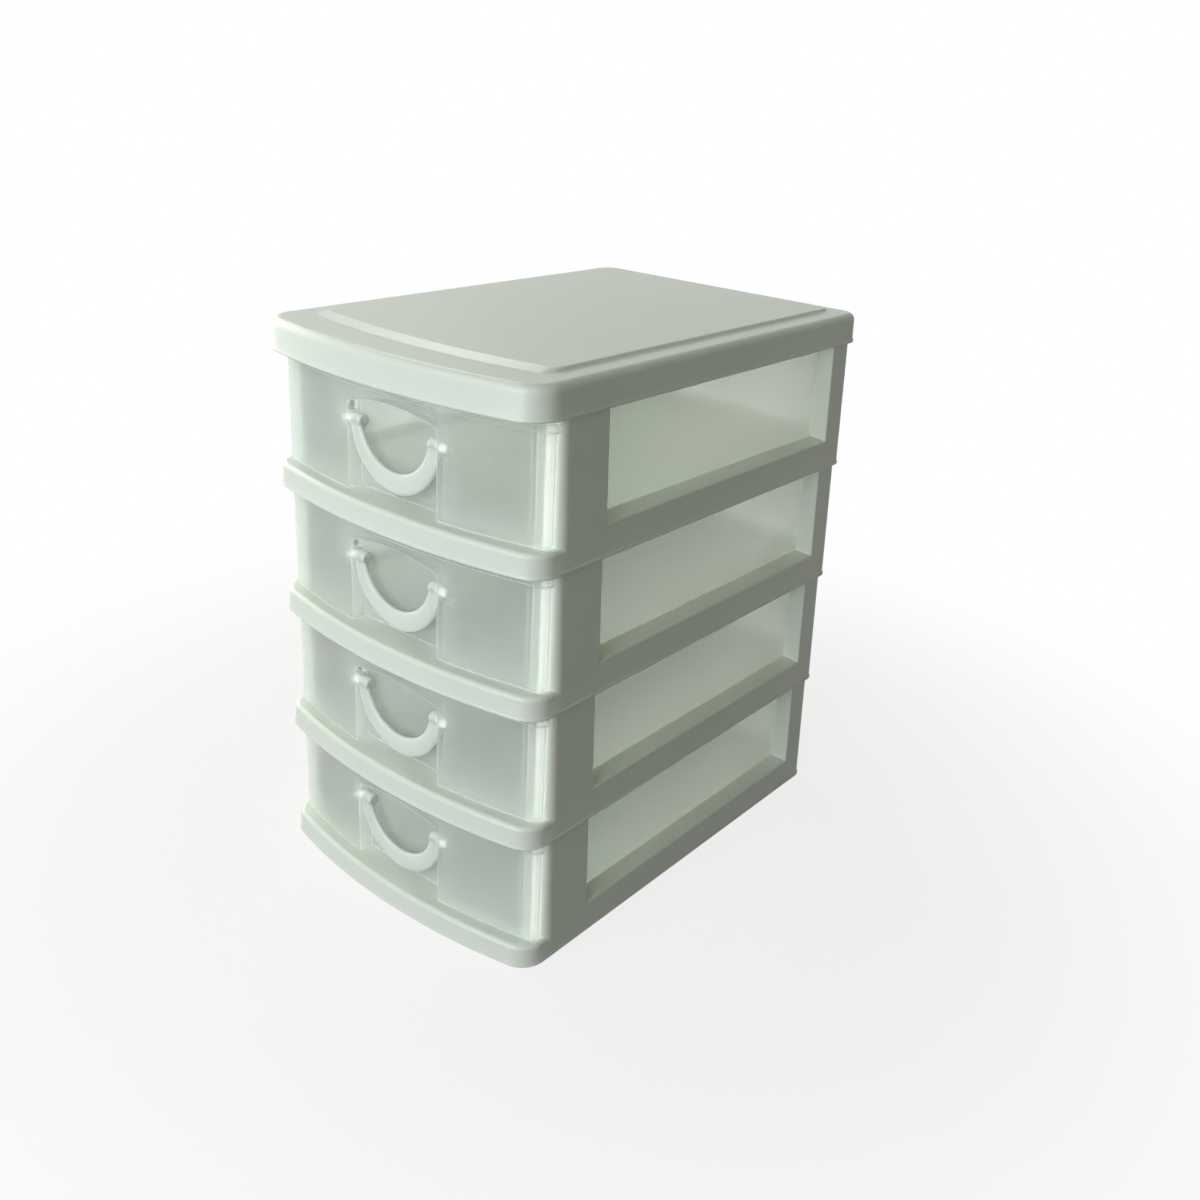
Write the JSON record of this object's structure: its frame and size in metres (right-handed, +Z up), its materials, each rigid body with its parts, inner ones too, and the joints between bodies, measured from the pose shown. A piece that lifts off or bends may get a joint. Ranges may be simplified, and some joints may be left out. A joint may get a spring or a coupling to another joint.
{
  "type": "desktop mini drawers",
  "caption": "Stack of open-sided tier frames under a top cap, each tier holding a translucent bow-front drawer with a swinging bail handle.",
  "frame": {"origin": "on the resting plane, below the middle of the stack's length and width", "axes": "+X across the stack to the right as seen from behind the drawers, +Y towards the back, +Z up; the drawers open towards -Y"},
  "size_m": [0.1206, 0.1796, 0.194],
  "materials": {
    "frame_plastic": "opaque off-white polypropylene with a faint green cast and a soft satin surface",
    "drawer_plastic": "frosted translucent polypropylene, satin outside",
    "handle_plastic": "opaque white polypropylene with a soft shine"
  },
  "bodies": {
    "stack": {"tier_frame_1": "frame_plastic", "tier_frame_2": "frame_plastic", "tier_frame_3": "frame_plastic", "tier_frame_4": "frame_plastic", "top_cap": "frame_plastic"},
    "drawer_1_body": {"drawer_1": "drawer_plastic"},
    "handle_1_body": {"handle_1": "handle_plastic"},
    "drawer_2_body": {"drawer_2": "drawer_plastic"},
    "handle_2_body": {"handle_2": "handle_plastic"},
    "drawer_3_body": {"drawer_3": "drawer_plastic"},
    "handle_3_body": {"handle_3": "handle_plastic"},
    "drawer_4_body": {"drawer_4": "drawer_plastic"},
    "handle_4_body": {"handle_4": "handle_plastic"}
  },
  "joints": [
    {"name": "drawer_1_slide", "type": "slide", "parent": "stack", "child": "drawer_1_body", "axis": [0, -1, 0], "range_m": [0, 0.12]},
    {"name": "handle_1_swing", "type": "hinge", "parent": "drawer_1_body", "child": "handle_1_body", "pos_m": [0, -0.0792, 0.0305], "axis": [-1, 0, 0], "range_deg": [-5, 130]},
    {"name": "drawer_2_slide", "type": "slide", "parent": "stack", "child": "drawer_2_body", "axis": [0, -1, 0], "range_m": [0, 0.12]},
    {"name": "handle_2_swing", "type": "hinge", "parent": "drawer_2_body", "child": "handle_2_body", "pos_m": [0, -0.0792, 0.076], "axis": [-1, 0, 0], "range_deg": [-5, 130]},
    {"name": "drawer_3_slide", "type": "slide", "parent": "stack", "child": "drawer_3_body", "axis": [0, -1, 0], "range_m": [0, 0.12]},
    {"name": "handle_3_swing", "type": "hinge", "parent": "drawer_3_body", "child": "handle_3_body", "pos_m": [0, -0.0792, 0.1215], "axis": [-1, 0, 0], "range_deg": [-5, 130]},
    {"name": "drawer_4_slide", "type": "slide", "parent": "stack", "child": "drawer_4_body", "axis": [0, -1, 0], "range_m": [0, 0.12]},
    {"name": "handle_4_swing", "type": "hinge", "parent": "drawer_4_body", "child": "handle_4_body", "pos_m": [0, -0.0792, 0.167], "axis": [-1, 0, 0], "range_deg": [-5, 130]}
  ]
}
